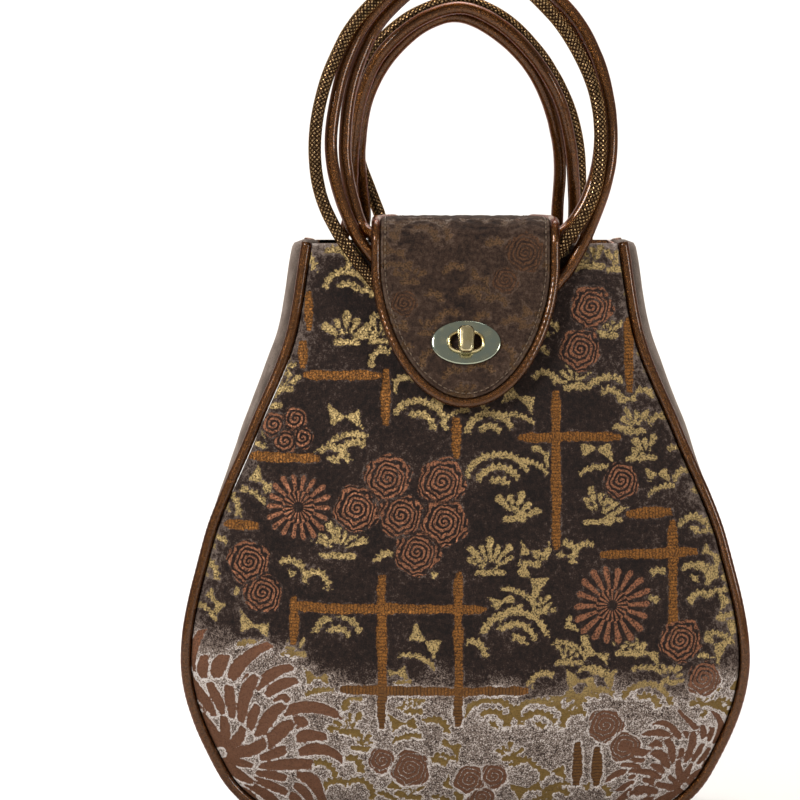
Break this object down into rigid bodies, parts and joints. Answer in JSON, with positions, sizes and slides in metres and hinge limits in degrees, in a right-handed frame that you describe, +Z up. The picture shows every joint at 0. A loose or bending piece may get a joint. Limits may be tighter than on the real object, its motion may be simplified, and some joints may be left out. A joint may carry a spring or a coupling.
{
  "type": "handbag",
  "caption": "Bell-shaped velvet flap handbag with foil motifs, leather piping, a turn lock and two sets of rolled handles.",
  "frame": {"origin": "centre of the flat base", "axes": "+Z up, the front with its flap and lock faces -Y, +X to the right seen from the front"},
  "size_m": [0.2884, 0.1634, 0.449],
  "materials": {
    "velvet": "cut velvet with foil motifs sunk in the pile",
    "taupe_velvet": "plain velvet",
    "bronze_leather": "metallic, fine crackle grain",
    "embossed_leather": "metallic, scale embossing",
    "gold_metal": "polished pale gold plating",
    "plain_steel": "plain",
    "lining_cloth": "plain weave",
    "board": "pressed board"
  },
  "bodies": {
    "bag": {"front_panel": "velvet", "back_panel": "velvet", "gusset": "taupe_velvet", "front_piping": "bronze_leather", "back_piping": "bronze_leather", "mouth_facing": "bronze_leather", "lining": "lining_cloth", "base_board": "board", "flap_outer": "velvet", "flap_backing": "bronze_leather", "flap_piping": "bronze_leather", "lock_plate": "gold_metal", "lock_eyelet": "gold_metal", "lock_backplate": "plain_steel", "lock_base": "gold_metal", "lock_rivet": "plain_steel", "lock_washer": "plain_steel", "front_handle_woven": "embossed_leather", "back_handle_woven": "embossed_leather", "front_handle_outer": "bronze_leather", "front_handle_inner": "bronze_leather", "back_handle_outer": "bronze_leather", "back_handle_inner": "bronze_leather", "front_tab_left": "bronze_leather", "front_tab_right": "bronze_leather", "back_tab_left": "bronze_leather", "back_tab_right": "bronze_leather"},
    "knob": {"lock_knob": "gold_metal"}
  },
  "joints": [
    {"name": "knob_turn", "type": "hinge", "parent": "bag", "child": "knob", "pos_m": [0, -0.04635, 0.25], "axis": [0, -0.9397, 0.342], "range_deg": [0, 90]}
  ]
}
